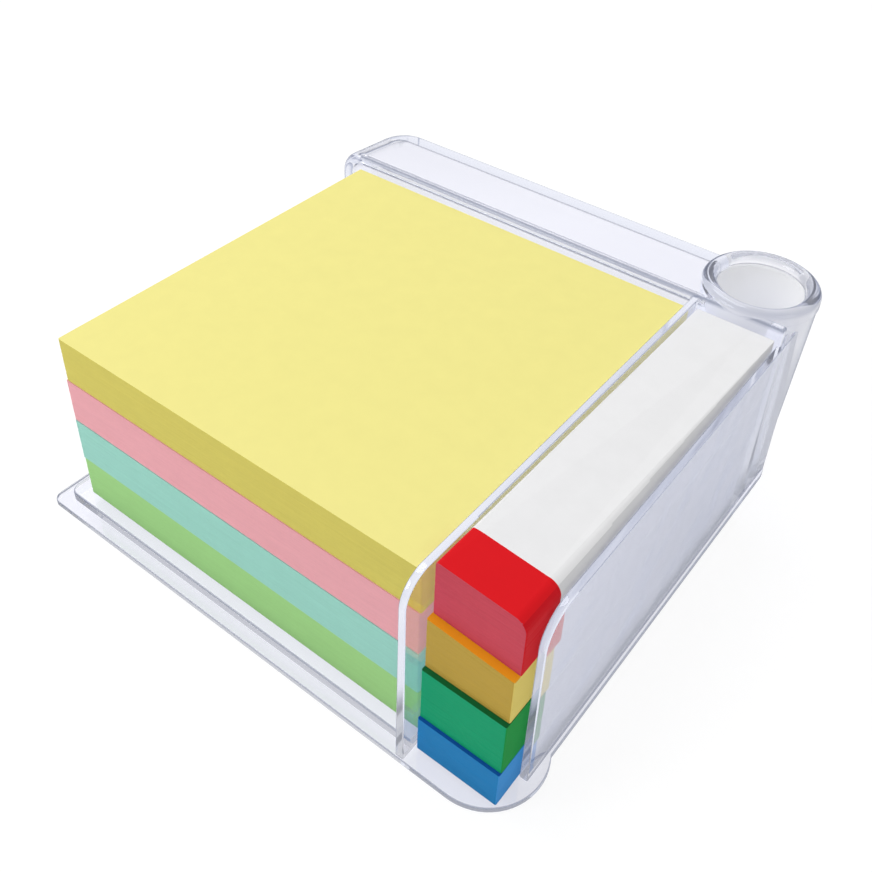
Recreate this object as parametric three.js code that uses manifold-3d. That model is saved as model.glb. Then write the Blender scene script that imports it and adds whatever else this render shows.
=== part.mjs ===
// Sticky note dispenser: a clear moulded holder that carries a cube of four note
// pads, a column of four page flag pads and a round pen cup.
//
// Millimetres, +Z up. The note cube rests at z = 0 and its front left foot is at
// x = 0, y = 0 while the pieces are built. At the end everything moves
// so that the origin is the middle of the footprint, on the table.

import * as THREE from 'three';
import Module from 'manifold-3d';
import { mergeVertices } from 'three/addons/utils/BufferGeometryUtils.js';

const wasm = await Module();
wasm.setup();

// Paper
const noteWidth = 76;
const noteDepth = 76;
const notePadHeight = 9;
const flagWidth = 14;
const flagLength = 76;
const bluePadHeight = 8.1;
const greenPadHeight = 10.4;
const yellowPadHeight = 8.3;
const redPadHeight = 11.5;

// Room left round the paper
const noteSideGap = 0.3;
const noteBackGap = 1.6;
const flagSideGap = 0.5;
const flagBackGap = 0.3;

// Base plate
const baseThickness = 3;
const baseLeftMargin = 6.3;
const baseFrontMargin = 4.8;
const baseRightMargin = 0.5;
const baseBackMargin = 0.5;
const baseEdgeRound = 0.4;
const platformStep = 1.8;
const platformInset = 2.4;
const frontLeftRadius = 2;
const frontRightRadius = 10;
const frontCornerBulge = 1.3;
const backLeftRadius = 5;
const backRightRadius = 8;

// Upright walls
const dividerRise = 1.4;
const dividerTopThickness = 1.2;
const dividerDraft = 0.3;
const dividerNoseRadius = 5;
const sideWallDrop = 2;
const sideWallTopThickness = 1.2;
const sideWallDraft = 0.2;
const sideWallSetback = 9;
const sideWallNoseRadius = 6;
const wallTopRound = 0.5;

// Hollow block along the back
const blockRise = 2;
const blockDepth = 15.4;
const blockOverhang = 7;
const blockWall = 2;
const blockRoof = 2.2;
const blockEdgeRound = 1;
const blockFrontCorner = 1.5;
const blockBackCorner = 10;
const blockEndRound = 5.5;

// Pen cup
const cupRise = 3;
const cupFootRadius = 8.8;
const cupTopRadius = 10.4;
const rimRadius = 10.6;
const rimHeight = 2.8;
const cupMouthRadius = 7.8;
const cupBoreFootRadius = 6.8;
const cupRightOffset = 9.6;
const cupSetback = 0.25;

// How each pad lies, from the bottom up: its slide to the right, how far it sticks out at the front
// and its turn in degrees. The note pads share one height, and each flag pad has its own.
const noteLie = [
  { name: 'note_pad_green', colour: 0x93cf7c, slide: 0, forward: 0.1, turn: 0 },
  { name: 'note_pad_aqua', colour: 0x8fd0c1, slide: -0.1, forward: 0.2, turn: 0 },
  { name: 'note_pad_pink', colour: 0xe6a3ac, slide: -0.2, forward: 0.1, turn: 0 },
  { name: 'note_pad_yellow', colour: 0xefe68a, slide: 0, forward: 0, turn: 0 },
];
const flagLie = [
  { name: 'flag_pad_blue', colour: 0x2e80b8, height: bluePadHeight,
    slide: 0, forward: 3, turn: 0.3 },
  { name: 'flag_pad_green', colour: 0x1aa273, height: greenPadHeight,
    slide: 0.1, forward: 2.5, turn: 0.1 },
  { name: 'flag_pad_yellow', colour: 0xe0b84a, height: yellowPadHeight,
    slide: -0.1, forward: 1.7, turn: -0.1 },
  { name: 'flag_pad_red', colour: 0xe31e26, height: redPadHeight,
    slide: 0, forward: 0, turn: 0.15 },
];

// Corners that end inside another part of the moulding
const hiddenCorner = 0.5;

// How far a cutting shape reaches past the face that it cuts
const overCut = 1;

// Facets
const cornerFacets = 8;
const roundFacets = 3;
const cupFacets = 48;

// Places worked out from the sizes above
const noteHeight = noteLie.length * notePadHeight;
const flagHeight = flagLie.reduce((sum, lie) => sum + lie.height, -platformStep);
const dividerHeight = noteHeight + dividerRise;
const sideWallHeight = flagHeight - sideWallDrop;
const blockHeight = noteHeight + blockRise;
const cupHeight = noteHeight + cupRise;
const dividerFootThickness = dividerTopThickness + dividerDraft;
const sideWallFootThickness = sideWallTopThickness + sideWallDraft;
const dividerLeft = noteWidth + noteSideGap;
const flagLeft = dividerLeft + dividerFootThickness + flagSideGap;
const sideWallLeft = flagLeft + flagWidth + flagSideGap;
const sideWallRight = sideWallLeft + sideWallFootThickness;
const blockFront = noteDepth + noteBackGap;
const blockBack = blockFront + blockDepth;
const baseLeft = -baseLeftMargin;
const baseRight = sideWallRight + baseRightMargin;
const baseFront = -baseFrontMargin;
const baseBack = blockBack + baseBackMargin;
const cupX = sideWallRight - cupRightOffset;
const cupY = blockFront + cupTopRadius + cupSetback;
const bulgeX = baseRight + frontCornerBulge - frontRightRadius;
const bulgeY = baseFront + frontRightRadius;
const wallFoot = -(baseThickness + platformStep) / 2;

// A closed geometry as a solid that can be joined and cut
function solid(geometry) {
  const bare = geometry.clone();
  bare.deleteAttribute('normal');
  bare.deleteAttribute('uv');
  const merged = mergeVertices(bare, 1e-4);
  const corners = merged.index.array;
  const triangles = [];
  for (let i = 0; i < corners.length; i += 3) {
    const [a, b, c] = corners.slice(i, i + 3);
    if (a !== b && b !== c && c !== a) triangles.push(a, b, c);
  }
  return new wasm.Manifold(new wasm.Mesh({
    numProp: 3,
    vertProperties: new Float32Array(merged.attributes.position.array),
    triVerts: new Uint32Array(triangles),
  }));
}

// The geometry of a solid, with flat facets
function geometryOf(body) {
  const mesh = body.getMesh();
  const geometry = new THREE.BufferGeometry();
  geometry.setAttribute('position', new THREE.BufferAttribute(mesh.vertProperties, 3));
  geometry.setIndex(new THREE.BufferAttribute(mesh.triVerts, 1));
  const faceted = geometry.toNonIndexed();
  faceted.computeVertexNormals();
  return faceted;
}

// A rectangle with its own radius at each corner: front left, front right, back right, back left
function roundedRectangle(left, front, right, back, radii) {
  const [fl, fr, br, bl] = radii;
  const shape = new THREE.Shape();
  shape.moveTo(left + fl, front);
  shape.lineTo(right - fr, front);
  shape.absarc(right - fr, front + fr, fr, -Math.PI / 2, 0, false);
  shape.lineTo(right, back - br);
  shape.absarc(right - br, back - br, br, 0, Math.PI / 2, false);
  shape.lineTo(left + bl, back);
  shape.absarc(left + bl, back - bl, bl, Math.PI / 2, Math.PI, false);
  shape.lineTo(left, front + fl);
  shape.absarc(left + fl, front + fl, fl, Math.PI, Math.PI * 1.5, false);
  return shape;
}

// A plan outline raised from one height to another, with its top and bottom edges rounded
function slab(outline, bottom, top, round) {
  const geometry = new THREE.ExtrudeGeometry(outline, {
    depth: top - bottom - 2 * round,
    curveSegments: cornerFacets,
    bevelEnabled: round > 0,
    bevelThickness: round,
    bevelSize: round,
    bevelOffset: -round,
    bevelSegments: roundFacets,
  });
  geometry.translate(0, 0, bottom + round);
  return solid(geometry);
}

// A wall that runs front to back: its side profile, with a rounded nose at the top front corner,
// crossed with its section, which is drafted and has rounded top edges
function uprightWall(wall) {
  const { left, foot, draft, height, front, back, nose, round } = wall;
  const profile = new THREE.Shape();
  profile.moveTo(front, wallFoot);
  profile.lineTo(back, wallFoot);
  profile.lineTo(back, height);
  profile.lineTo(front + nose, height);
  profile.absarc(front + nose, height - nose, nose, Math.PI / 2, Math.PI, false);
  profile.lineTo(front, wallFoot);
  const side = new THREE.ExtrudeGeometry(profile, {
    depth: foot + 2 * overCut,
    curveSegments: cornerFacets,
    bevelEnabled: false,
  });
  side.applyMatrix4(new THREE.Matrix4().makeBasis(
    new THREE.Vector3(0, 1, 0),
    new THREE.Vector3(0, 0, 1),
    new THREE.Vector3(1, 0, 0),
  ));
  side.translate(left - overCut, 0, 0);

  const section = new THREE.Shape();
  section.moveTo(left, wallFoot);
  section.lineTo(left + foot, wallFoot);
  section.lineTo(left + foot - draft / 2, height - round);
  section.absarc(left + foot - draft / 2 - round, height - round, round, 0, Math.PI / 2, false);
  section.lineTo(left + draft / 2 + round, height);
  section.absarc(left + draft / 2 + round, height - round, round, Math.PI / 2, Math.PI, false);
  section.lineTo(left, wallFoot);
  const run = new THREE.ExtrudeGeometry(section, {
    depth: back - front + 2 * overCut,
    curveSegments: roundFacets,
    bevelEnabled: false,
  });
  run.rotateX(Math.PI / 2);
  run.translate(0, back + overCut, 0);
  return solid(side).intersect(solid(run));
}

// A solid turned from a half profile of radius and height points
function turned(points, x, y) {
  const geometry = new THREE.LatheGeometry(points, cupFacets);
  geometry.rotateX(Math.PI / 2);
  geometry.translate(x, y, 0);
  return solid(geometry);
}

// The outside of the pen cup: a drafted barrel with a thick rolled rim
function cupBarrel() {
  const rimRound = (rimRadius - cupMouthRadius) / 2;
  const points = [
    new THREE.Vector2(0, -baseThickness),
    new THREE.Vector2(cupFootRadius, -baseThickness),
    new THREE.Vector2(cupTopRadius, cupHeight - rimHeight),
  ];
  for (let step = 0; step <= cornerFacets; step += 1) {
    const angle = (step / cornerFacets) * Math.PI / 2;
    points.push(new THREE.Vector2(
      rimRadius - rimRound + rimRound * Math.cos(angle),
      cupHeight - rimRound + rimRound * Math.sin(angle),
    ));
  }
  points.push(new THREE.Vector2(0, cupHeight));
  return turned(points, cupX, cupY);
}

// The bore of the pen cup: drafted, with a flat floor and a mouth that follows the rolled rim
function cupBore() {
  const rimRound = (rimRadius - cupMouthRadius) / 2;
  const points = [
    new THREE.Vector2(0, 0),
    new THREE.Vector2(cupBoreFootRadius, 0),
  ];
  for (let step = 0; step <= cornerFacets; step += 1) {
    const angle = (step / cornerFacets) * Math.PI / 2;
    points.push(new THREE.Vector2(
      cupMouthRadius + rimRound - rimRound * Math.cos(angle),
      cupHeight - rimRound + rimRound * Math.sin(angle),
    ));
  }
  points.push(new THREE.Vector2(cupMouthRadius + rimRound, cupHeight + overCut));
  points.push(new THREE.Vector2(0, cupHeight + overCut));
  return turned(points, cupX, cupY);
}

// The outline of the flange. Its front right corner is an arc that bulges past the right edge.
function flangeOutline() {
  const arcEnd = Math.acos((baseRight - bulgeX) / frontRightRadius);
  const shape = new THREE.Shape();
  shape.moveTo(baseLeft + frontLeftRadius, baseFront);
  shape.lineTo(bulgeX, baseFront);
  shape.absarc(bulgeX, bulgeY, frontRightRadius, -Math.PI / 2, arcEnd, false);
  shape.lineTo(baseRight, baseBack - backRightRadius);
  shape.absarc(baseRight - backRightRadius, baseBack - backRightRadius,
    backRightRadius, 0, Math.PI / 2, false);
  shape.lineTo(baseLeft + backLeftRadius, baseBack);
  shape.absarc(baseLeft + backLeftRadius, baseBack - backLeftRadius,
    backLeftRadius, Math.PI / 2, Math.PI, false);
  shape.lineTo(baseLeft, baseFront + frontLeftRadius);
  shape.absarc(baseLeft + frontLeftRadius, baseFront + frontLeftRadius,
    frontLeftRadius, Math.PI, Math.PI * 1.5, false);
  return shape;
}

// The base plate: a thin flange all round, which is also the floor under the flags, with a platform
// on it under the note cube
function basePlate() {
  const flange = slab(flangeOutline(), -baseThickness, -platformStep, baseEdgeRound);
  const platform = slab(
    roundedRectangle(baseLeft + platformInset, baseFront + platformInset,
      dividerLeft + dividerFootThickness / 2, blockFront + blockWall / 2,
      [frontLeftRadius, hiddenCorner, hiddenCorner, hiddenCorner]),
    wallFoot, 0, 0,
  );
  return flange.add(platform);
}

// What is cut away above a large round along the top of the block's free end. Its first and last
// facets run on past the faces that they meet.
function endRoundCut(left, top, radius) {
  const centreX = left + radius;
  const centreZ = top - radius;
  const arc = [];
  for (let step = 0; step <= cornerFacets; step += 1) {
    const angle = Math.PI - (step / cornerFacets) * Math.PI / 2;
    arc.push(new THREE.Vector2(
      centreX + radius * Math.cos(angle),
      centreZ + radius * Math.sin(angle),
    ));
  }
  const runOn = (end, inner) => end.clone().addScaledVector(end.clone().sub(inner), overCut);
  const first = runOn(arc[0], arc[1]);
  const last = runOn(arc[cornerFacets], arc[cornerFacets - 1]);
  const outline = new THREE.Shape([
    first, ...arc, last,
    new THREE.Vector2(last.x, top + overCut),
    new THREE.Vector2(left - overCut, top + overCut),
    new THREE.Vector2(left - overCut, first.y),
  ]);
  const geometry = new THREE.ExtrudeGeometry(outline, {
    depth: blockDepth + 2 * overCut,
    bevelEnabled: false,
  });
  geometry.rotateX(Math.PI / 2);
  geometry.translate(0, blockBack + overCut, 0);
  return solid(geometry);
}

// The block along the back: its outside, with a thin wall that runs on past the cup behind the
// flags, and the hollow that is open underneath
function backBlock() {
  const right = sideWallLeft + sideWallFootThickness / 2;
  const bayWallBack = blockFront + blockWall;
  const outline = new THREE.Shape();
  outline.moveTo(-blockOverhang + blockFrontCorner, blockFront);
  outline.lineTo(right, blockFront);
  outline.lineTo(right, bayWallBack);
  outline.lineTo(cupX, bayWallBack);
  outline.lineTo(cupX, blockBack);
  outline.lineTo(-blockOverhang + blockBackCorner, blockBack);
  outline.absarc(-blockOverhang + blockBackCorner, blockBack - blockBackCorner,
    blockBackCorner, Math.PI / 2, Math.PI, false);
  outline.lineTo(-blockOverhang, blockFront + blockFrontCorner);
  outline.absarc(-blockOverhang + blockFrontCorner, blockFront + blockFrontCorner,
    blockFrontCorner, Math.PI, Math.PI * 1.5, false);
  const whole = slab(outline, -baseThickness, blockHeight, Math.min(blockEdgeRound, 0.4 * blockWall));
  return whole.subtract(endRoundCut(-blockOverhang, blockHeight, blockEndRound));
}

function blockHollow() {
  const left = -blockOverhang + blockWall;
  const top = blockHeight - blockRoof;
  const whole = slab(
    roundedRectangle(left, blockFront + blockWall, cupX, blockBack - blockWall,
      [blockFrontCorner / 2, hiddenCorner, hiddenCorner, blockBackCorner - blockWall]),
    -baseThickness - overCut, top, 0,
  );
  return whole.subtract(endRoundCut(left, top, blockEndRound - blockWall));
}

function makeHolder() {
  const divider = uprightWall({
    left: dividerLeft,
    foot: dividerFootThickness,
    draft: dividerDraft,
    height: dividerHeight,
    front: baseFront + baseEdgeRound,
    back: blockFront + blockWall / 2,
    nose: dividerNoseRadius,
    round: wallTopRound,
  });
  const sideWall = uprightWall({
    left: sideWallLeft,
    foot: sideWallFootThickness,
    draft: sideWallDraft,
    height: sideWallHeight,
    front: baseFront + sideWallSetback,
    back: cupY,
    nose: sideWallNoseRadius,
    round: wallTopRound,
  });
  const barrel = cupBarrel();
  const hollow = blockHollow().subtract(barrel);
  const body = basePlate()
    .add(backBlock())
    .add(divider)
    .add(sideWall)
    .subtract(hollow)
    .add(barrel)
    .subtract(cupBore());
  return geometryOf(body);
}

// A pad of paper: a block of sheets, resting at its own height in the stack
function addPad(group, lie, size, place) {
  const pad = new THREE.Mesh(
    new THREE.BoxGeometry(size.width, size.length, size.height),
    new THREE.MeshStandardMaterial({ color: lie.colour, roughness: 0.85, metalness: 0 }),
  );
  pad.name = lie.name;
  pad.position.set(place.x, place.y, place.z);
  pad.rotation.z = THREE.MathUtils.degToRad(lie.turn);
  group.add(pad);
}

function addNotes(group) {
  noteLie.forEach((lie, level) => {
    addPad(group, lie, { width: noteWidth, length: noteDepth, height: notePadHeight }, {
      x: noteWidth / 2 + lie.slide,
      y: noteDepth / 2 - lie.forward,
      z: (level + 0.5) * notePadHeight,
    });
  });
}

function addFlags(group) {
  let foot = -platformStep;
  flagLie.forEach((lie) => {
    addPad(group, lie, { width: flagWidth, length: flagLength, height: lie.height }, {
      x: flagLeft + flagWidth / 2 + lie.slide,
      y: blockFront - flagBackGap - flagLength / 2 - lie.forward,
      z: foot + lie.height / 2,
    });
    foot += lie.height;
  });
}

const dispenser = new THREE.Group();
dispenser.name = 'sticky_note_dispenser';

const holder = new THREE.Mesh(
  makeHolder(),
  new THREE.MeshStandardMaterial({
    color: 0xdfe4f2, roughness: 0.08, metalness: 0, transparent: true, opacity: 0.35,
  }),
);
holder.name = 'holder';
dispenser.add(holder);
addNotes(dispenser);
addFlags(dispenser);

const extent = new THREE.Box3().setFromObject(dispenser);
const middle = extent.getCenter(new THREE.Vector3());
dispenser.position.set(-middle.x, -middle.y, -extent.min.z);
dispenser.updateMatrixWorld(true);

export default dispenser;
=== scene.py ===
# Looks of the sticky note dispenser: a clear moulded holder with a pen cup, a cube
# of four note pads and a column of four page flag pads.
import math

import bpy
import numpy as np
from mathutils import Matrix, Vector


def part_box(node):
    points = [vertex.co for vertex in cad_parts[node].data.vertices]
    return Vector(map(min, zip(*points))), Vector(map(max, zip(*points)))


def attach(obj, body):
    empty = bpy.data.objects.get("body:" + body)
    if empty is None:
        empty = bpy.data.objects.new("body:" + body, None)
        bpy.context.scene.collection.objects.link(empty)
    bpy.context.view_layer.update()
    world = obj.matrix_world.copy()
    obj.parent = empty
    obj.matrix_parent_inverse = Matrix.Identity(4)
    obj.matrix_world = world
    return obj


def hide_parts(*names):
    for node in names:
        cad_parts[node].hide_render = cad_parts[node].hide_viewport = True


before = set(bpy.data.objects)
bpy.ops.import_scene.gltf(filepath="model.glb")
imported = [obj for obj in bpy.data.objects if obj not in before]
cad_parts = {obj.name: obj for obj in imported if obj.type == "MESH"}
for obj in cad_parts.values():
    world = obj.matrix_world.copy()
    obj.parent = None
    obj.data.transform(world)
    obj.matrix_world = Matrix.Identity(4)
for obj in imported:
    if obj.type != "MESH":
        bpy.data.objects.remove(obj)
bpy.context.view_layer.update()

mm = 0.001
leastRound = 0.02 * mm
dice = np.random.default_rng(11)
scene = bpy.context.scene
print("frame loaded:", len(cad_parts), "pieces")


# Meshes

def roundedRing(corners, radii, inset=0.0, perArc=7, perSide=0):
    # Outline of a polygon with rounded corners, drawn in by inset. Each edge's line moves inwards, and
    # each corner is an arc: centre + radius * (cos a, sin a), with a turning from one edge to the next.
    corners = np.asarray(corners, float)
    radii = np.asarray(radii, float)
    along = np.roll(corners, -1, 0) - corners
    along /= np.linalg.norm(along, axis=1)[:, None]
    inward = np.stack([-along[:, 1], along[:, 0]], 1)
    before = np.roll(along, 1, 0)
    beforeIn = np.roll(inward, 1, 0)
    cosTurn = (before * along).sum(1)
    turn = np.arctan2(before[:, 0] * along[:, 1] - before[:, 1] * along[:, 0], cosTurn)
    side = np.sign(turn)
    moved = corners + inset * (beforeIn + inward) / (1 + (beforeIn * inward).sum(1))[:, None]
    radius = np.maximum(radii - side * inset, leastRound)
    start = moved - before * (radius * np.tan(abs(turn) / 2))[:, None]
    centre = start + beforeIn * (side * radius)[:, None]
    first = np.arctan2(start[:, 1] - centre[:, 1], start[:, 0] - centre[:, 0])
    angle = first[:, None] + turn[:, None] * np.linspace(0, 1, perArc)
    arc = centre[:, None] + radius[:, None, None] * np.stack([np.cos(angle), np.sin(angle)], -1)
    share = np.linspace(0, 1, perSide + 2)[1:-1, None]
    run = arc[:, -1:] * (1 - share) + np.roll(arc[:, :1], -1, 0) * share
    return np.concatenate([arc, run], 1).reshape(-1, 2)


def roundedLevels(bottom, top, bottomRound, topRound, steps=5):
    # Levels of a slab as (inset, height) rows: a quarter circle below and a quarter circle above.
    a = np.linspace(0, math.pi / 2, steps)
    low = np.stack([bottomRound * (1 - np.sin(a)), bottom + bottomRound * (1 - np.cos(a))], 1)
    high = np.stack([topRound * (1 - np.cos(a)), top - topRound * (1 - np.sin(a))], 1)
    return np.concatenate([low, high])


def loft(rings):
    # Skin over rings of equal length: point p of ring r joins p + 1 and ring r + 1, with both ends closed.
    levels, points = rings.shape[:2]
    level, point = np.meshgrid(np.arange(levels - 1), np.arange(points), indexing="ij")
    after = (point + 1) % points
    quads = np.stack([level * points + point, level * points + after,
                      (level + 1) * points + after, (level + 1) * points + point], -1)
    ends = [np.arange(points)[::-1].tolist(), (np.arange(points) + (levels - 1) * points).tolist()]
    return rings.reshape(-1, 3), quads.reshape(-1, 4).tolist() + ends


def newPiece(name, skin):
    mesh = bpy.data.meshes.new(name)
    mesh.from_pydata(skin[0].tolist(), [], skin[1])
    mesh.validate()
    piece = bpy.data.objects.new(name, mesh)
    scene.collection.objects.link(piece)
    return piece


def arcRing(arcs, inset=0.0, perArc=13):
    # Outline through arcs, each (centre x, centre y, radius, first angle, last angle) with its radius
    # shortened by inset: centre + radius * (cos a, sin a).
    arcs = np.asarray(arcs, float)
    angle = arcs[:, 3:4] + (arcs[:, 4:5] - arcs[:, 3:4]) * np.linspace(0, 1, perArc)
    circle = np.stack([np.cos(angle), np.sin(angle)], -1)
    return (arcs[:, None, :2] + (arcs[:, 2:3] - inset)[..., None] * circle).reshape(-1, 2)


def stacked(rings, heights):
    # Flat outlines in x and y, each at its own height.
    return np.array([np.hstack([ring, np.full((len(ring), 1), z)]) for ring, z in zip(rings, heights)])


def slabPiece(name, corners, radii, levels, perArc=7):
    # A rounded outline in x and y, repeated at each level.
    rings = [roundedRing(corners, radii, inset, perArc) for inset, _ in levels]
    return newPiece(name, loft(stacked(rings, [height for _, height in levels])))


def turnedPiece(name, radii, heights, x, y, facets=96):
    # A half profile turned about an upright axis: (x + r cos a, y + r sin a, z).
    a = np.arange(facets) * 2 * math.pi / facets
    circle = np.stack([np.cos(a), np.sin(a)], 1)
    flat = np.asarray(radii)[:, None, None] * circle + np.array([x, y])
    upright = np.broadcast_to(np.asarray(heights)[:, None, None], flat.shape[:2] + (1,))
    return newPiece(name, loft(np.concatenate([flat, upright], -1)))


def boxCorners(left, front, right, back):
    return [(left, front), (right, front), (right, back), (left, back)]


def applied(piece):
    graph = bpy.context.evaluated_depsgraph_get()
    mesh = bpy.data.meshes.new_from_object(piece.evaluated_get(graph))
    piece.modifiers.clear()
    piece.data = mesh
    return piece


def combine(piece, steps, keep=False):
    # Joins and cuts one after another, and then leaves a single mesh. The other pieces go unless kept.
    for operation, other in steps:
        modifier = piece.modifiers.new(operation.lower(), "BOOLEAN")
        modifier.operation = operation
        modifier.solver = "EXACT"
        modifier.object = other
    applied(piece)
    if not keep:
        for _, other in steps:
            bpy.data.objects.remove(other)
    return piece


def smoothed(piece, degrees=30):
    piece.data.shade_smooth()
    piece.data.set_sharp_from_angle(angle=math.radians(degrees))
    weighted = piece.modifiers.new("even shading", "WEIGHTED_NORMAL")
    weighted.keep_sharp = True
    return piece


# Materials

class Signal:
    # A value socket that can stand in a Python sum: each operator adds one Math node.
    def __init__(self, board, socket):
        self.board = board
        self.socket = socket

    def math(self, operation, left, right):
        return self.board.math(operation, left, right)

    def __add__(self, other):
        return self.math("ADD", self, other)

    __radd__ = __add__

    def __sub__(self, other):
        return self.math("SUBTRACT", self, other)

    def __rsub__(self, other):
        return self.math("SUBTRACT", other, self)

    def __mul__(self, other):
        return self.math("MULTIPLY", self, other)

    __rmul__ = __mul__

    def __truediv__(self, other):
        return self.math("DIVIDE", self, other)

    def __lt__(self, other):
        return self.math("LESS_THAN", self, other)

    def __gt__(self, other):
        return self.math("GREATER_THAN", self, other)


class Board:
    # The node tree of one material or world, with one method that adds any node.
    def __init__(self, owner):
        owner.use_nodes = True
        self.tree = owner.node_tree
        self.tree.nodes.clear()

    def node(self, kind, settings=None, values=None):
        node = self.tree.nodes.new(kind)
        for name, value in (settings or {}).items():
            if name == "stops":
                ramp = node.color_ramp.elements
                while len(ramp) < len(value):
                    ramp.new(0.5)
                for element, (position, colour) in zip(ramp, value):
                    element.position = position
                    element.color = colour
            else:
                setattr(node, name, value)
        for name, value in (values or {}).items():
            if isinstance(value, Signal):
                value = value.socket
            if isinstance(value, bpy.types.NodeSocket):
                self.tree.links.new(value, node.inputs[name])
            else:
                node.inputs[name].default_value = value
        return node

    def out(self, node, name=0):
        return Signal(self, node.outputs[name])

    def math(self, operation, left, right):
        return self.out(self.node("ShaderNodeMath", {"operation": operation}, {0: left, 1: right}))

    def blend(self, share, first, second):
        # A colour mix. The Mix node's colours are sockets 6 and 7, and its colour result is number 2.
        node = self.node("ShaderNodeMix", {"data_type": "RGBA"}, {0: share, 6: first, 7: second})
        return self.out(node, 2)

    def place(self, scale):
        # Object coordinates, stretched by scale.
        where = self.node("ShaderNodeTexCoord")
        mapping = self.node("ShaderNodeMapping", None, {"Vector": where.outputs["Object"], "Scale": scale})
        return self.out(mapping, "Vector")

    def noise(self, scale, detail=2.0, roughness=0.5):
        where = self.place(scale)
        return self.out(self.node("ShaderNodeTexNoise", None, {
            "Vector": where, "Scale": 1.0, "Detail": detail, "Roughness": roughness}), "Fac")

    def position(self):
        # Object coordinates as three values.
        where = self.node("ShaderNodeTexCoord")
        split = self.node("ShaderNodeSeparateXYZ", None, {0: where.outputs["Object"]})
        return self.out(split, "X"), self.out(split, "Y"), self.out(split, "Z")

    def upward(self):
        # How far the surface looks up: the height of its normal, from -1 to 1.
        where = self.node("ShaderNodeTexCoord")
        split = self.node("ShaderNodeSeparateXYZ", None, {0: where.outputs["Normal"]})
        return self.out(split, "Z")

    def bent(self, ray):
        # 1 for a ray that the plastic mirrors or bends, and 0 for any other.
        total = self.out(ray, "Is Glossy Ray") + self.out(ray, "Is Transmission Ray")
        return self.math("MINIMUM", total, 1.0)

    def finish(self, shader, volume=None):
        end = self.node("ShaderNodeOutputMaterial", None, {"Surface": shader.outputs[0]})
        if volume is not None:
            self.tree.links.new(volume.outputs[0], end.inputs["Volume"])


def newMaterial(name):
    material = bpy.data.materials.new(name)
    return material, Board(material)


def linear(colour):
    # A colour written as six hexadecimal digits, turned to the linear values that a shader takes.
    parts = np.array([int(colour[i:i + 2], 16) for i in (0, 2, 4)]) / 255
    parts = np.where(parts <= 0.04045, parts / 12.92, ((parts + 0.055) / 1.055) ** 2.4)
    return (*parts.tolist(), 1.0)


def shadedColour(board, colour, shade):
    # A colour made lighter or darker by a value: Mix in multiply mode with the value as a grey.
    grey = board.node("ShaderNodeCombineColor", None, {"Red": shade, "Green": shade, "Blue": shade})
    node = board.node("ShaderNodeMix", {"data_type": "RGBA", "blend_type": "MULTIPLY"},
                      {0: 1.0, 6: colour, 7: grey.outputs[0]})
    return board.out(node, 2)


clearLook = {
    "tint": "fbfbff", "roughness": 0.03, "ior": 1.52, "shadowTint": "f4f5fa",
    "depthColour": "a9b0ca", "depthDensity": 16.0,
    "rippleSize": 80.0, "rippleStrength": 0.4, "rippleDepth": 0.3 * mm,
    "scuffSize": 700.0, "scuffRoughness": 0.03,
    # The painted glow that stands in for light that has met four surfaces, by the length of its last leg
    # as a share of longest, and the painted shade that darkens it near the base.
    "deepFrom": 4.0, "longest": 12 * mm, "deepStrength": 1.12, "baseShade": 0.34, "baseFade": 6 * mm,
    "deepStops": ((0.0, "f4f5fa"), (0.15, "d4d9e9"), (0.3, "f0f2f8"), (0.45, "f4f5f9"), (0.6, "e6e8ef"),
                  (0.8, "d3d7e2"), (1.0, "c5c9d6")),
    "paintedLineColour": "80879c", "edgeFrom": 0.7, "edgeShare": 0.9, "edgeBelow": 3.2 * mm,
    "roundShare": 0.72, "rimShare": 0.25, "rimMargin": 0.2 * mm, "noseMargin": 1 * mm,
    "milk": "f7f7f7", "milkRoughness": 0.5, "milkShare": 0.85, "milkReach": 8.2 * mm,
    "milkFade": 0.8 * mm, "milkFromTop": 1.4 * mm, "milkBelowFloor": 0.1 * mm,
}


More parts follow.
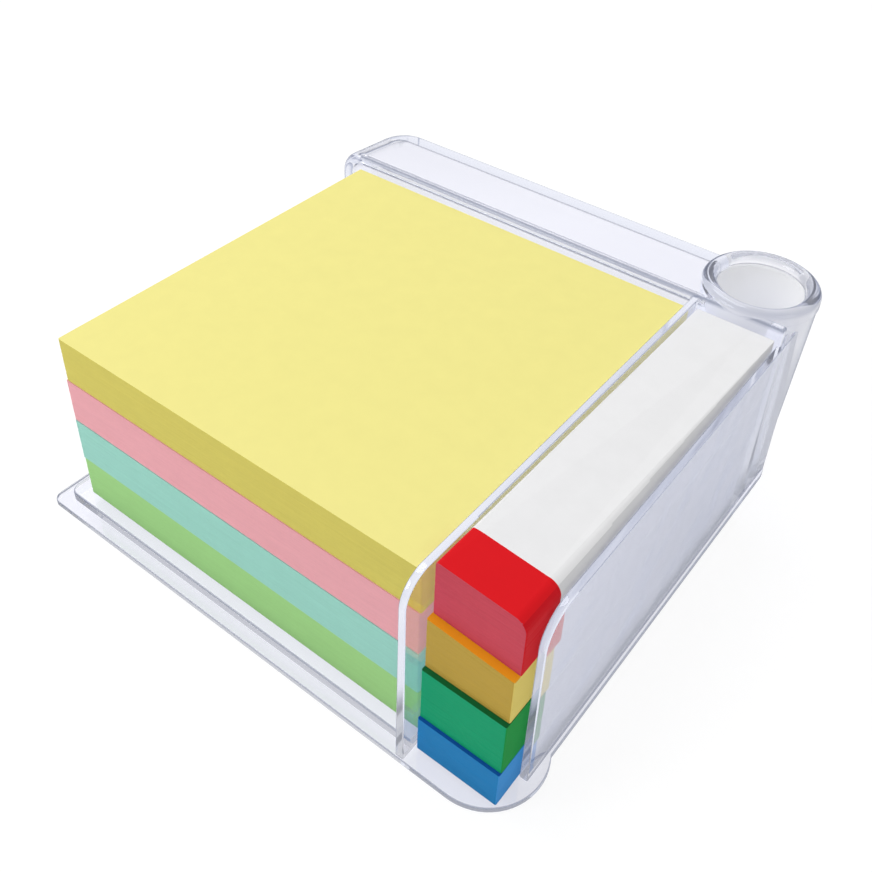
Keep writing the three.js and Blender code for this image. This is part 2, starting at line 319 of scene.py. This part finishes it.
def clearPlastic(name, look, places):
    # Clear moulding. A ray that has bounced about inside for long ends on a painted glow of pale grey,
    # which stands in for the light it would gather, depends on the length of its last leg and is painted
    # darker near the base. Where the first surface that a ray meets turns away from it, it takes a painted
    # dark line of shade, and low down any surface does. The small rounded edges take the painted dark line
    # too, by the square of sin of twice their slope; the walls' noses and the block's left end are left
    # out, and the rim takes less of it. The cup's bore is milky: that is what lies nearer to its axis than
    # the reach, from its foot up, and the milk fades out below its top.
    material, board = newMaterial(name)
    x, y, z = board.position()
    aside, behind = x - places["axis"][0], y - places["axis"][1]
    fromAxis = board.math("SQRT", aside * aside + behind * behind, 0.0)
    fade = board.out(board.node("ShaderNodeMapRange", None, {
        "Value": z, "From Min": places["boreTop"], "From Max": places["boreTop"] - look["milkFade"]}))
    milky = (fromAxis < look["milkReach"]) * (z > places["boreFoot"]) * fade * look["milkShare"]
    upward = board.upward()
    # Painted shade: dark lines on the small rounded edges, by the square of sin of twice their slope.
    slope = 4 * upward * upward * (1 - upward * upward)
    isRim = fromAxis < places["rim"]
    beyond = (y > places["noseBack"]) * (x > places["endRight"])
    small = board.math("MAXIMUM", z < look["edgeBelow"], beyond)
    rounded = slope * small * (look["roundShare"] - (look["roundShare"] - look["rimShare"]) * isRim)
    facing = board.out(board.node("ShaderNodeLayerWeight", None, {"Blend": 0.5}), "Facing")
    edge = board.out(board.node("ShaderNodeMapRange", None, {
        "Value": facing, "From Min": look["edgeFrom"]}))
    ripple = board.noise((look["rippleSize"],) * 3, 1.0)
    bump = board.node("ShaderNodeBump", None, {
        "Height": ripple, "Strength": look["rippleStrength"], "Distance": look["rippleDepth"]})
    scuff = board.noise((look["scuffSize"],) * 3, 3.0)
    body = board.node("ShaderNodeBsdfPrincipled", None, {
        "Base Color": linear(look["tint"]),
        "Roughness": look["roughness"] + look["scuffRoughness"] * scuff,
        "IOR": look["ior"], "Transmission Weight": 1.0, "Normal": bump.outputs[0]})
    passing = board.node("ShaderNodeBsdfTransparent", None, {"Color": linear(look["shadowTint"])})
    ray = board.node("ShaderNodeLightPath")
    firstOrLow = board.math("MAXIMUM", board.out(ray, "Ray Depth") < 0.5, z < look["edgeBelow"])
    leg = board.out(ray, "Ray Length") / look["longest"]
    grey = board.node("ShaderNodeValToRGB", {"stops": [(at, linear(c)) for at, c in look["deepStops"]]},
                      {"Fac": leg})
    rise = board.math("MINIMUM", z / look["baseFade"], 1.0)
    shade = look["baseShade"] + (1 - look["baseShade"]) * rise
    # Painted glow: a pale grey emission that stands in for light bounced about inside, painted darker near
    # the base.
    glow = board.node("ShaderNodeBsdfPrincipled", None, {
        "Base Color": (0, 0, 0, 1), "Specular IOR Level": 0.0,
        "Emission Color": shadedColour(board, grey.outputs[0], shade),
        "Emission Strength": look["deepStrength"]})
    isDeep = board.out(ray, "Ray Depth") > look["deepFrom"] - 0.5
    inner = board.node("ShaderNodeMixShader", None, {0: isDeep, 1: body.outputs[0], 2: glow.outputs[0]})
    # Painted shade: a dark emission line where a surface turns away, low down, and on the small rounded
    # edges.
    line = board.node("ShaderNodeEmission", None, {"Color": linear(look["paintedLineColour"])})
    lined = board.math("MAXIMUM", edge * firstOrLow * look["edgeShare"], rounded)
    outer = board.node("ShaderNodeMixShader", None, {0: lined, 1: inner.outputs[0], 2: line.outputs[0]})
    milk = board.node("ShaderNodeBsdfPrincipled", None, {
        "Base Color": linear(look["milk"]), "Roughness": look["milkRoughness"]})
    frosted = board.node("ShaderNodeMixShader", None, {0: milky, 1: outer.outputs[0], 2: milk.outputs[0]})
    surface = board.node("ShaderNodeMixShader", None, {
        0: ray.outputs["Is Shadow Ray"], 1: frosted.outputs[0], 2: passing.outputs[0]})
    depth = board.node("ShaderNodeVolumeAbsorption", None, {
        "Color": linear(look["depthColour"]), "Density": look["depthDensity"]})
    board.finish(surface, depth)
    return material


paperLook = {
    "mottleSize": 260.0, "mottleLow": 0.97, "mottleShare": 0.06, "grainSize": 900.0,
    "layerSize": (60.0, 60.0, 5200.0), "speckSize": (1500.0, 1500.0, 3600.0),
    "streakLow": 0.88, "layerShare": 0.16, "speckShare": 0.08, "speckHeight": 0.4,
    "cutBump": 0.5, "sheetBump": 0.15, "bumpDepth": 0.05 * mm,
    "noteRoughness": 0.85, "noteSpecular": 0.25, "flagRoughness": 0.7, "flagSpecular": 0.15,
}


def paperSurface(board, look, isCut):
    # The shade and the bump of paper with a soft mottle. On a cut face the mottle is drawn out into thin
    # level streaks, with specks.
    mottle = board.noise((look["mottleSize"],) * 3, 4.0, 0.6)
    shade = look["mottleLow"] + look["mottleShare"] * mottle
    if isCut:
        layer = board.noise(look["layerSize"], 2.0, 0.6)
        speck = board.noise(look["speckSize"], 2.0, 0.7)
        shade = shade * (look["streakLow"] + look["layerShare"] * layer + look["speckShare"] * speck)
        height = layer + look["speckHeight"] * speck
    else:
        height = board.noise((look["grainSize"],) * 3, 2.0)
    bump = board.node("ShaderNodeBump", None, {
        "Height": height, "Strength": look["cutBump"] if isCut else look["sheetBump"],
        "Distance": look["bumpDepth"]})
    return shade, bump


def notePaper(name, colour, isCut):
    material, board = newMaterial(name)
    shade, bump = paperSurface(board, paperLook, isCut)
    body = board.node("ShaderNodeBsdfPrincipled", None, {
        "Base Color": shadedColour(board, linear(colour), shade), "Roughness": paperLook["noteRoughness"],
        "Specular IOR Level": paperLook["noteSpecular"], "Normal": bump.outputs[0]})
    board.finish(body)
    return material


def flagPaper(name, tip, white, tipEnd, isCut):
    # White paper whose front end is printed: the print stops at y = tipEnd.
    material, board = newMaterial(name)
    shade, bump = paperSurface(board, paperLook, isCut)
    _, y, _ = board.position()
    colour = board.blend(y < tipEnd, linear(white), linear(tip))
    body = board.node("ShaderNodeBsdfPrincipled", None, {
        "Base Color": shadedColour(board, colour, shade), "Roughness": paperLook["flagRoughness"],
        "Specular IOR Level": paperLook["flagSpecular"], "Normal": bump.outputs[0]})
    board.finish(body)
    return material


# Holder

noteLow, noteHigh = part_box("note_pad_yellow")
bottomLow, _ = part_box("note_pad_green")
flagLow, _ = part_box("flag_pad_blue")
holderLow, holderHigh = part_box("holder")
_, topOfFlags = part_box("flag_pad_red")

holderSizes = {
    "flangeTop": flagLow.z, "platformTop": bottomLow.z, "plateRound": 0.25 * mm, "platformRound": 0.4 * mm,
    "leftMargin": 6.3 * mm, "rightMargin": 0.5 * mm, "backMargin": 0.5 * mm, "platformInset": 2.4 * mm,
    "frontLeftRadius": 2 * mm, "frontRightRadius": 10 * mm, "bulge": 1.3 * mm,
    "backRightRadius": 8 * mm, "backLeftRadius": 5 * mm,
    "dividerGap": 0.3 * mm, "dividerThickness": 1.5 * mm, "dividerRise": 1.4 * mm,
    "dividerNose": 5 * mm, "dividerDraft": 0.3 * mm,
    "flagBay": 14 * mm, "sideWallGap": 0.5 * mm, "sideWallThickness": 1.4 * mm, "sideWallDrop": 2 * mm,
    "sideWallSetback": 9 * mm, "sideWallNose": 6 * mm, "sideWallDraft": 0.2 * mm, "wallRound": 0.2 * mm,
    "blockGap": 1.6 * mm, "blockDepth": 15.4 * mm, "blockOverhang": 7 * mm, "blockRise": 2 * mm,
    "blockWall": 2 * mm, "blockRoof": 2.2 * mm, "blockRound": 0.9 * mm, "blockEndRound": 5.5 * mm,
    "blockFrontCorner": 1.5 * mm, "blockBackCorner": 5 * mm, "blockSlant": 1.5 * mm,
    "hollowRound": 0.6 * mm,
    "cupFootRadius": 8.8 * mm, "cupTopRadius": 10.4 * mm, "rimRadius": 10.6 * mm, "rimHeight": 2.8 * mm,
    "mouthRadius": 7.8 * mm, "boreFootRadius": 6.8 * mm, "cupRightOffset": 9.6 * mm,
    "cupFootRound": 0.3 * mm, "rimFold": 0.25 * mm, "boreCove": 1 * mm,
}
hidden = 0.5 * mm
below = 1 * mm


def flangePiece(size, left, front, right, back):
    # The flange's outline: four corner arcs, of which the front right one bulges past the right edge.
    fl, fr = size["frontLeftRadius"], size["frontRightRadius"]
    br, bl = size["backRightRadius"], size["backLeftRadius"]
    bulgeX = right + size["bulge"] - fr
    levels = roundedLevels(0, size["flangeTop"], size["plateRound"], size["plateRound"], steps=7)
    rings = []
    for inset, _ in levels:
        bulgeEnd = math.acos((right - inset - bulgeX) / (fr - inset))
        rings.append(arcRing([
            (left + fl, front + fl, fl, -math.pi, -math.pi / 2),
            (bulgeX, front + fr, fr, -math.pi / 2, bulgeEnd),
            (right - br, back - br, br, 0, math.pi / 2),
            (left + bl, back - bl, bl, math.pi / 2, math.pi),
        ], inset, perArc=21))
    return newPiece("holder_clear", loft(stacked(rings, levels[:, 1])))


def blockPiece(name, corners, radii, bottom, top, edgeRound, endRound):
    # The block's outline at each height. Its left end, the first and the last corner, draws in near the
    # top by R (1 - cos a) at the height top - R (1 - sin a), with the big radius R. The other sides draw
    # in by r - sqrt(r^2 - h^2), with the small radius r and h above the height top - r.
    a = np.linspace(0, math.pi / 2, 19)
    heights = np.append(bottom, top - endRound * (1 - np.sin(a)))
    ends = np.append(0, endRound * (1 - np.cos(a)))
    reach = np.clip((heights - (top - edgeRound)) / edgeRound, 0, 1)
    insets = edgeRound * (1 - np.sqrt(1 - reach ** 2))
    rings = []
    for inset, end in zip(insets, ends):
        shifted = np.array(corners, float)
        shifted[[0, -1], 0] += max(end - inset, 0)
        rings.append(roundedRing(shifted, radii, inset, perArc=15))
    return newPiece(name, loft(stacked(rings, heights)))


def uprightWall(name, left, right, front, back, bottom, top, nose, edge, draft):
    # The side outline in y and z, with its nose arc, carried across the wall's thickness. The draft
    # leans both faces inwards as they rise.
    rings = []
    for inset, x in roundedLevels(left, right, edge, edge, steps=7):
        outline = roundedRing([(front, bottom), (back, bottom), (back, top), (front, top)],
                              (hidden, hidden, hidden, nose), inset, perArc=25)
        rise = (outline[:, 1:] - bottom) / (top - bottom)
        lean = draft / 2 * (1 - 2 * (x - left) / (right - left))
        rings.append(np.hstack([x + lean * rise, outline]))
    return newPiece(name, loft(np.array(rings)))


def cupPieces(size, x, y, rimTop, boreFoot):
    # The barrel's half profile rises in a straight draft, folds out by a fraction into the rim, and
    # goes over it in a half circle. The bore's profile comes down from that circle to a coved floor.
    lip = (size["rimRadius"] - size["mouthRadius"]) / 2
    rimFoot = rimTop - size["rimHeight"]
    a = np.linspace(0, math.pi / 2, 11)
    fold = np.linspace(0, 1, 5)
    foldOut = (size["rimRadius"] - size["cupTopRadius"]) * (0.5 - 0.5 * np.cos(math.pi * fold))
    barrelRadii = np.concatenate([
        [size["cupFootRadius"] - size["cupFootRound"], size["cupFootRadius"]],
        size["cupTopRadius"] + foldOut, size["rimRadius"] - lip * (1 - np.cos(a))])
    barrelHeights = np.concatenate([
        [0, size["cupFootRound"]], rimFoot + size["rimFold"] * fold, rimTop - lip * (1 - np.sin(a))])
    cove = size["boreCove"]
    boreRadii = np.concatenate([
        size["boreFootRadius"] - cove * (1 - np.sin(a)),
        size["mouthRadius"] + lip * (1 - np.cos(a)), [size["mouthRadius"] + lip]])
    boreHeights = np.concatenate([
        boreFoot + cove * (1 - np.cos(a)), rimTop - lip * (1 - np.sin(a)), [rimTop + below]])
    return (turnedPiece("barrel", barrelRadii, barrelHeights, x, y),
            turnedPiece("bore", boreRadii, boreHeights, x, y))


def makeHolder(size):
    # The moulding, and the places by which its material tells the bore, the rim, the noses and the end.
    noteLeft, noteRight, noteBack = noteLow.x, noteHigh.x, noteHigh.y
    dividerLeft = noteRight + size["dividerGap"]
    dividerRight = dividerLeft + size["dividerThickness"]
    wallLeft = dividerRight + 2 * size["sideWallGap"] + size["flagBay"]
    wallRight = wallLeft + size["sideWallThickness"]
    wallMiddle = (wallLeft + wallRight) / 2
    wall = size["blockWall"]
    blockFront = noteBack + size["blockGap"]
    blockBack = blockFront + size["blockDepth"]
    blockLeft = noteLeft - size["blockOverhang"]
    blockTop = noteHigh.z + size["blockRise"]
    slant = size["blockSlant"]
    left = noteLeft - size["leftMargin"]
    front = holderLow.y
    right = wallRight + size["rightMargin"]
    back = blockBack + size["backMargin"]
    cupX = wallRight - size["cupRightOffset"]
    cupY = holderHigh.y - size["rimRadius"]
    foot = size["flangeTop"] / 2

    flange = flangePiece(size, left, front, right, back)
    inset = size["platformInset"]
    dividerMiddle = dividerLeft + size["dividerThickness"] / 2
    platform = slabPiece(
        "platform", boxCorners(left + inset, front + inset, dividerMiddle, blockFront + wall / 2),
        (size["frontLeftRadius"], hidden, hidden, hidden),
        roundedLevels(foot, size["platformTop"], leastRound, size["platformRound"]), perArc=13)
    block = blockPiece(
        "block",
        [(blockLeft, blockFront), (wallMiddle, blockFront), (wallMiddle, blockFront + wall),
         (cupX, blockFront + wall), (cupX, blockBack), (blockLeft + slant, blockBack)],
        (size["blockFrontCorner"], hidden, hidden, hidden, hidden, size["blockBackCorner"]),
        0, blockTop, size["blockRound"], size["blockEndRound"])
    hollow = blockPiece(
        "hollow",
        [(blockLeft + wall, blockFront + wall), (cupX, blockFront + wall), (cupX, blockBack - wall),
         (blockLeft + slant + wall, blockBack - wall)],
        (size["blockFrontCorner"] / 2, hidden, hidden, size["blockBackCorner"] - wall),
        -below, blockTop - size["blockRoof"], size["hollowRound"], size["blockEndRound"] - wall)
    divider = uprightWall(
        "divider", dividerLeft, dividerRight, front + size["plateRound"], blockFront + wall / 2,
        foot, noteHigh.z + size["dividerRise"], size["dividerNose"], size["wallRound"],
        size["dividerDraft"])
    sideWall = uprightWall(
        "side_wall", wallLeft, wallRight, front + size["sideWallSetback"], cupY,
        foot, topOfFlags.z - size["sideWallDrop"], size["sideWallNose"], size["wallRound"],
        size["sideWallDraft"])
    barrel, bore = cupPieces(size, cupX, cupY, holderHigh.z, size["platformTop"])
    keptHollow = combine(hollow, [("DIFFERENCE", barrel)], keep=True)
    holder = combine(flange, [
        ("UNION", platform), ("UNION", block), ("UNION", divider), ("UNION", sideWall),
        ("DIFFERENCE", keptHollow), ("UNION", barrel), ("DIFFERENCE", bore)])
    return holder, {
        "axis": (cupX, cupY), "rim": size["rimRadius"] + clearLook["rimMargin"],
        "boreFoot": size["platformTop"] - clearLook["milkBelowFloor"],
        "boreTop": holderHigh.z - clearLook["milkFromTop"],
        "noseBack": front + size["sideWallSetback"] + size["sideWallNose"] + clearLook["noseMargin"],
        "endRight": blockLeft + size["blockEndRound"]}


holder, places = makeHolder(holderSizes)
smoothed(holder)
holder.data.materials.append(clearPlastic("clearPlastic", clearLook, places))
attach(holder, "root")
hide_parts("holder")
print("holder made:", len(holder.data.polygons), "faces")


# Paper pads

padShape = {
    "sheetStep": 0.25 * mm, "sheetScatter": 0.02 * mm, "leastInset": 0.01 * mm, "footInset": 0.08 * mm,
    "footHeight": 0.06 * mm, "sheetsFrom": 0.2 * mm, "cornerRound": 0.25 * mm, "backRound": 0.1 * mm,
    "lift": 0.03 * mm,
}


def padPiece(name, corners, low, high, shape, frontRounds=(0.1 * mm, 0.1 * mm), floor=0.0,
             backShare=1.0, tilts=(0.0, 0.0)):
    # A stack of sheets: one rounded outline for every few sheets, each drawn in by a small random amount.
    # The top edges are rounded over by their own radii at the front, which fade to a small one at the
    # back: at the depth d below the top a side moves in by R - sqrt(R^2 - (R - d)^2).
    # Heights above the floor shrink evenly to their backShare at the far end. At the front the pad's foot
    # and top lie higher on the left than on the right by the two tilts.
    radii = np.array([frontRounds[0], frontRounds[1], shape["backRound"], shape["backRound"]])
    widest = radii.max()
    a = np.linspace(0.02, math.pi / 2, 14)
    heights = np.concatenate([
        [low, low + shape["footHeight"]],
        np.arange(low + shape["sheetsFrom"], high - widest, shape["sheetStep"]),
        high - widest * (1 - np.sin(a))])
    scatter = abs(dice.normal(0, shape["sheetScatter"], len(heights))) + shape["leastInset"]
    scatter[0] = shape["footInset"]
    rings = []
    for inset, z in zip(scatter, heights):
        depth = np.minimum(high - z, radii)
        drawn = radii - np.sqrt(radii ** 2 - (radii - depth) ** 2)
        across = np.array([1, -1, -1, 1]) * drawn
        moved = np.asarray(corners, float) + np.stack([across, np.zeros(4)], 1)
        rings.append(roundedRing(moved, (shape["cornerRound"],) * 4, inset, perArc=4, perSide=6))
    points = stacked(rings, heights)
    along = (points[..., 1] - corners[0][1]) / (corners[2][1] - corners[0][1])
    across = (points[..., 0] - corners[0][0]) / (corners[1][0] - corners[0][0])
    tilt = tilts[0] + (tilts[1] - tilts[0]) * (points[..., 2] - low) / (high - low)
    points[..., 2] = floor + (points[..., 2] - floor) * (1 - (1 - backShare) * along)
    points[..., 2] += tilt * (0.5 - across) * (1 - along)
    return newPiece(name, loft(points))


def dressPad(piece, node, sheet, cut, side):
    # The top and the bottom take the first material, the cut faces the second and the right side the third.
    normals = np.zeros(len(piece.data.polygons) * 3)
    piece.data.polygons.foreach_get("normal", normals)
    normals = normals.reshape(-1, 3)
    slots = np.where(abs(normals[:, 2]) > 0.7, 0, np.where(normals[:, 0] > 0.6, 2, 1)).astype(np.int32)
    for material in (sheet, cut, side):
        piece.data.materials.append(material)
    piece.data.polygons.foreach_set("material_index", slots)
    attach(piece, "root")
    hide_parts(node)


# Each pad has a sheet colour for its top and bottom and a cut colour for its sides. The cut colours are
# deeper: partly the packed edges' own colour and partly painted shade of the sides, most of all in the
# yellow.
noteColours = {
    "yellow": ("f3ea92", "d0c460"), "pink": ("e9a9b0", "e6a4ac"),
    "aqua": ("a0d5ca", "98d0c3"), "green": ("a6d38e", "9ccf84"),
}
for colour, (face, cutFace) in noteColours.items():
    node = "note_pad_" + colour
    low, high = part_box(node)
    foot = low.z + padShape["lift"] * (low.z <= bottomLow.z)
    outline = boxCorners(low.x, low.y, high.x, high.y)
    pad = padPiece("notes_" + colour, outline, foot, high.z, padShape)
    cut = notePaper(colour + "NoteCut", cutFace, True)
    dressPad(pad, node, notePaper(colour + "NoteSheet", face, False), cut, cut)
print("note pads made")

flagLook = {
    # The white end's grey on the flags' cut faces and right side is painted shade of the sides.
    "white": "f0f0f1", "paintedShadeWhite": "dcdcde", "tipLength": 8.1 * mm, "width": 14.6 * mm, "length": 76 * mm,
    "leftGap": 0.25 * mm, "backShare": 0.96,
    "tips": {
        "blue": {"sheet": "0a50a4", "cut": "1e7cb8", "side": "3f93d8", "turn": 0.1, "rounds": (0.1, 0.1),
                 "top": 7.7, "front": 0.0, "tilt": 0.0},
        # The green's sheet colour is a dark green: painted shade of its top ledge, which lies under the
        # yellow pad.
        "green": {"sheet": "06602f", "cut": "0a9a6a", "side": "04903a", "turn": 0.05, "rounds": (0.1, 0.1),
                  "top": 18.9, "front": 0.0, "tilt": 0.0},
        "yellow": {"sheet": "efa21c", "cut": "b99a42", "side": "e0cc6c", "turn": -0.05,
                   "rounds": (0.1, 0.1), "top": 28.7, "front": 0.0, "tilt": 1.3},
        "red": {"sheet": "df0f1a", "cut": "c64858", "side": "d00618", "turn": 0.1, "rounds": (0.8, 2.1),
                "top": 39.3, "front": -0.4, "tilt": 1.3},
    },
}
dividerRight = noteHigh.x + holderSizes["dividerGap"] + holderSizes["dividerThickness"]
foot = flagLow.z
tiltBelow = 0.0
for colour, tip in flagLook["tips"].items():
    node = "flag_pad_" + colour
    low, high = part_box(node)
    halfWidth, halfLength = flagLook["width"] / 2, flagLook["length"] / 2
    turn = math.radians(tip["turn"])
    spin = np.array([[math.cos(turn), math.sin(turn)], [-math.sin(turn), math.cos(turn)]])
    middle = np.array([dividerRight + flagLook["leftGap"] + halfWidth,
                       low.y + tip["front"] * mm + halfLength])
    corners = np.array(boxCorners(-halfWidth, -halfLength, halfWidth, halfLength)) @ spin + middle
    top = flagLow.z + tip["top"] * mm
    lift = padShape["lift"] * (foot == flagLow.z)
    pad = padPiece("flags_" + colour, corners, foot + lift, top, padShape,
                   [r * mm for r in tip["rounds"]], flagLow.z, flagLook["backShare"],
                   (tiltBelow, tip["tilt"] * mm))
    foot = top
    tiltBelow = tip["tilt"] * mm
    tipEnd = corners[0][1] + flagLook["tipLength"]
    # The cut faces and the right side take the white end's grey, which is painted shade.
    dressPad(pad, node,
             flagPaper(colour + "FlagSheet", tip["sheet"], flagLook["white"], tipEnd, False),
             flagPaper(colour + "FlagCut", tip["cut"], flagLook["paintedShadeWhite"], tipEnd, True),
             flagPaper(colour + "FlagSide", tip["side"], flagLook["paintedShadeWhite"], tipEnd, False))
print("flag pads made")


# Studio

studio = {
    "floorSize": 6.0, "floorDrop": 0.1 * mm, "floorGlow": 0.8, "bentGlow": 0.5, "floorBright": 1.07,
    "nearReach": 0.1, "farReach": 0.3, "ambient": 0.5, "lowColour": "5c6279", "midColour": "adb3c8",
    "bandTop": 0.16, "skyFrom": 0.42, "aim": (0.0, 0.0, 0.02),
    "lamps": {
        "key": {"at": (-0.35, 0.1, 0.8), "size": 0.55, "power": 2.6},
        "front": {"at": (-0.4, -0.5, 0.35), "size": 0.4, "power": 1.7},
        "right": {"at": (0.8, -0.1, 0.5), "size": 0.5, "power": 1.0},
    },
}
view = {
    "azimuth": 0.6352, "elevation": 0.6434, "roll": 0.0392, "focalPixels": 1057.5926, "imagePixels": 872,
    "centreRow": 320, "eyeFromNotes": (131.0761, -72.8159, 145.0808),
}


def makeFloor(look):
    # White for the camera. What the plastic mirrors and bends finds it white near the object and a
    # lavender grey far off, like a table that ends.
    half = look["floorSize"] / 2
    corners = np.array([(x, y, -look["floorDrop"]) for x, y in boxCorners(-half, -half, half, half)])
    floor = newPiece("floor", (corners, [[0, 1, 2, 3]]))
    material, board = newMaterial("floorWhite")
    ray = board.node("ShaderNodeLightPath")
    bent = board.bent(ray)
    glow = board.out(ray, "Is Camera Ray") * look["floorGlow"] + bent * look["bentGlow"]
    x, y, _ = board.position()
    away = board.math("SQRT", x * x + y * y, 0.0)
    far = board.out(board.node("ShaderNodeMapRange", None, {
        "Value": away, "From Min": look["nearReach"], "From Max": look["farReach"]}))
    colour = board.blend(far * bent, (1, 1, 1, 1), linear(look["lowColour"]))
    matt = board.node("ShaderNodeBsdfDiffuse", None, {"Color": (1, 1, 1, 1)})
    white = board.node("ShaderNodeEmission", None, {"Color": colour, "Strength": look["floorBright"]})
    mixed = board.node("ShaderNodeMixShader", None, {
        0: glow, 1: matt.outputs[0], 2: white.outputs[0]})
    board.finish(mixed)
    floor.data.materials.append(material)


def makeWorld(look):
    # Even soft light for the papers. What the plastic mirrors and bends runs from a bright top to a
    # lavender band low down, which draws its edges.
    world = bpy.data.worlds.new("studio")
    scene.world = world
    board = Board(world)
    where = board.node("ShaderNodeTexCoord")
    split = board.node("ShaderNodeSeparateXYZ", None, {0: where.outputs["Object"]})
    ramp = board.node("ShaderNodeValToRGB", {"stops": [
        (0.0, linear(look["lowColour"])), (look["bandTop"], linear(look["midColour"])),
        (look["skyFrom"], linear("ffffff"))]}, {"Fac": split.outputs["Z"]})
    bent = board.bent(board.node("ShaderNodeLightPath"))
    colour = board.blend(bent, (1, 1, 1, 1), ramp.outputs[0])
    strength = look["ambient"] + (1 - look["ambient"]) * bent
    sky = board.node("ShaderNodeBackground", None, {"Color": colour, "Strength": strength})
    board.node("ShaderNodeOutputWorld", None, {"Surface": sky.outputs[0]})


def makeLamp(name, lamp):
    light = bpy.data.lights.new(name, "AREA")
    light.shape = "DISK"
    light.size = lamp["size"]
    light.energy = lamp["power"]
    hung = bpy.data.objects.new(name, light)
    scene.collection.objects.link(hung)
    place = Vector(lamp["at"])
    hung.location = place
    hung.rotation_euler = (Vector(studio["aim"]) - place).to_track_quat("-Z", "Y").to_euler()


def makeCamera(v):
    # The camera's axes from its azimuth, elevation and roll: back points from the object to the eye.
    az, el, roll = v["azimuth"], v["elevation"], v["roll"]
    back = Vector((math.sin(az) * math.cos(el), -math.cos(az) * math.cos(el), math.sin(el)))
    right = Vector((math.cos(az), math.sin(az), 0))
    up = back.cross(right)
    across = math.cos(roll) * right + math.sin(roll) * up
    upward = -math.sin(roll) * right + math.cos(roll) * up
    origin = Vector((noteLow.x, noteLow.y, holderSizes["platformTop"]))
    eye = origin + Vector(v["eyeFromNotes"]) * mm
    data = bpy.data.cameras.new("camera")
    camera = bpy.data.objects.new("camera", data)
    scene.collection.objects.link(camera)
    turn = Matrix((across, upward, back)).transposed().to_4x4()
    camera.matrix_world = Matrix.Translation(eye) @ turn
    data.sensor_width = 36
    data.lens = data.sensor_width * v["focalPixels"] / v["imagePixels"]
    data.shift_y = -(v["imagePixels"] / 2 - v["centreRow"]) / v["imagePixels"]
    data.clip_start = 0.01
    scene.camera = camera


makeFloor(studio)
makeWorld(studio)
for name, lamp in studio["lamps"].items():
    makeLamp(name, lamp)
makeCamera(view)
scene.view_settings.view_transform = "Standard"
print("studio made")
